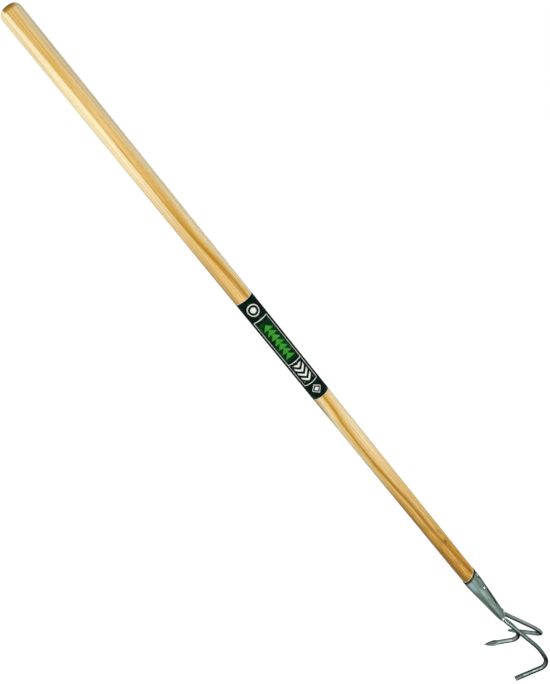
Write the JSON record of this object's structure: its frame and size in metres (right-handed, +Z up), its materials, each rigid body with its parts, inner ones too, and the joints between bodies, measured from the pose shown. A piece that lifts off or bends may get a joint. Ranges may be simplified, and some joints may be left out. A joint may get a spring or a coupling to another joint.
{
  "type": "long handled cultivator claw",
  "caption": "Long handled garden cultivator with a round wooden shaft, a dark green label sleeve, a rolled sheet-steel socket and hooked rod tines with forged ends.",
  "frame": {"origin": "on the shaft's axis, 240 mm below its top end, where a rack clip or a hand holds the tool", "axes": "+Z up the shaft to its top end, -Y towards the hooks, +X towards the right tine"},
  "size_m": [0.1112, 0.1034, 1.3953],
  "materials": {
    "wood": "satin",
    "label_film": "gloss",
    "sheet_steel": "satin",
    "rod_steel": "satin",
    "weld_steel": "rough",
    "nail_steel": "satin"
  },
  "bodies": {
    "root": {"handle": "wood", "label": "label_film", "socket": "sheet_steel", "upper_nail": "nail_steel", "lower_nail": "nail_steel", "left_tine": "rod_steel", "middle_tine": "rod_steel", "right_tine": "rod_steel", "root_weld": "weld_steel"}
  },
  "joints": []
}
